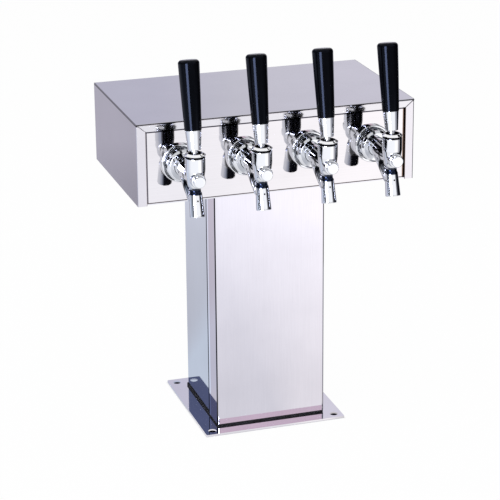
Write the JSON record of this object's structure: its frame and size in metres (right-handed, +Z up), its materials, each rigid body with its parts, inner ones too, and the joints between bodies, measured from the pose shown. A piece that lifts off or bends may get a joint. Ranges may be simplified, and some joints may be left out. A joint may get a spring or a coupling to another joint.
{
  "type": "beer tower dispenser",
  "caption": "T-shaped stainless draught beer tower: a wide box head on a square column and flanged base, with a row of chrome faucets and black lever handles.",
  "frame": {"origin": "centre of the base plate's underside, on the column's axis", "axes": "+Z up the column, the taps face -Y, +X to the right of someone facing the taps from behind the bar"},
  "size_m": [0.375, 0.3113, 0.5391],
  "materials": {
    "stainless_brushed": "brushed stainless sheet, fine straight grain",
    "stainless_mirror": "stainless sheet polished to a mirror",
    "stainless_turned": "turned stainless bar",
    "stainless_tube": "drawn stainless tube",
    "stainless_screw": "plain stainless screws",
    "chrome": "bright chrome plate",
    "brass": "machined brass",
    "copper": "drawn copper tube",
    "black_rubber": "matt black rubber",
    "black_gloss_plastic": "glossy black moulded plastic",
    "white_acetal": "matt white acetal",
    "rigid_foam": "pale yellow rigid foam"
  },
  "bodies": {
    "tower": {"base_plate": "stainless_brushed", "base_socket": "stainless_brushed", "neck_socket": "stainless_brushed", "column_shell": "stainless_brushed", "column_front_cover": "stainless_brushed", "head_bottom_panel": "stainless_brushed", "head_left_end": "stainless_brushed", "head_right_end": "stainless_brushed", "head_top_cover": "stainless_brushed", "head_back_panel": "stainless_brushed", "head_front_panel": "stainless_mirror", "shanks": "stainless_turned", "tailpieces": "stainless_turned", "beer_line_1": "stainless_tube", "beer_line_2": "stainless_tube", "beer_line_3": "stainless_tube", "beer_line_4": "stainless_tube", "base_screws": "stainless_screw", "neck_screws": "stainless_screw", "head_back_screws": "stainless_screw", "shank_flanges": "chrome", "coupling_nut_1": "chrome", "coupling_nut_2": "chrome", "coupling_nut_3": "chrome", "coupling_nut_4": "chrome", "faucet_body_1": "chrome", "faucet_body_2": "chrome", "faucet_body_3": "chrome", "faucet_body_4": "chrome", "front_caps": "chrome", "collars": "chrome", "lock_nuts": "brass", "tail_nuts": "brass", "glycol_loop": "copper", "base_gasket": "black_rubber", "coupling_washers": "black_rubber", "ball_seats": "white_acetal", "column_foam": "rigid_foam", "head_foam": "rigid_foam"},
    "tap_lever_1": {"lever_1": "stainless_turned", "ferrule_1": "chrome", "handle_1": "black_gloss_plastic"},
    "tap_valve_1": {"valve_shaft_1": "stainless_turned", "seat_washer_1": "black_rubber"},
    "tap_lever_2": {"lever_2": "stainless_turned", "ferrule_2": "chrome", "handle_2": "black_gloss_plastic"},
    "tap_valve_2": {"valve_shaft_2": "stainless_turned", "seat_washer_2": "black_rubber"},
    "tap_lever_3": {"lever_3": "stainless_turned", "ferrule_3": "chrome", "handle_3": "black_gloss_plastic"},
    "tap_valve_3": {"valve_shaft_3": "stainless_turned", "seat_washer_3": "black_rubber"},
    "tap_lever_4": {"lever_4": "stainless_turned", "ferrule_4": "chrome", "handle_4": "black_gloss_plastic"},
    "tap_valve_4": {"valve_shaft_4": "stainless_turned", "seat_washer_4": "black_rubber"}
  },
  "joints": [
    {"name": "lever_tilt_1", "type": "hinge", "parent": "tower", "child": "tap_lever_1", "pos_m": [-0.1305, -0.1774, 0.415], "axis": [1, 0, 0], "range_deg": [0, 30]},
    {"name": "valve_slide_1", "type": "slide", "parent": "tower", "child": "tap_valve_1", "axis": [0, 1, 0], "range_m": [0, 0.0119]},
    {"name": "lever_tilt_2", "type": "hinge", "parent": "tower", "child": "tap_lever_2", "pos_m": [-0.0435, -0.1774, 0.415], "axis": [1, 0, 0], "range_deg": [0, 30]},
    {"name": "valve_slide_2", "type": "slide", "parent": "tower", "child": "tap_valve_2", "axis": [0, 1, 0], "range_m": [0, 0.0119]},
    {"name": "lever_tilt_3", "type": "hinge", "parent": "tower", "child": "tap_lever_3", "pos_m": [0.0435, -0.1774, 0.415], "axis": [1, 0, 0], "range_deg": [0, 30]},
    {"name": "valve_slide_3", "type": "slide", "parent": "tower", "child": "tap_valve_3", "axis": [0, 1, 0], "range_m": [0, 0.0119]},
    {"name": "lever_tilt_4", "type": "hinge", "parent": "tower", "child": "tap_lever_4", "pos_m": [0.1305, -0.1774, 0.415], "axis": [1, 0, 0], "range_deg": [0, 30]},
    {"name": "valve_slide_4", "type": "slide", "parent": "tower", "child": "tap_valve_4", "axis": [0, 1, 0], "range_m": [0, 0.0119]}
  ],
  "couplings": [
    {"joint": "valve_slide_1", "follows": "lever_tilt_1", "m_per_rad": 0.0226},
    {"joint": "valve_slide_2", "follows": "lever_tilt_2", "m_per_rad": 0.0226},
    {"joint": "valve_slide_3", "follows": "lever_tilt_3", "m_per_rad": 0.0226},
    {"joint": "valve_slide_4", "follows": "lever_tilt_4", "m_per_rad": 0.0226}
  ]
}
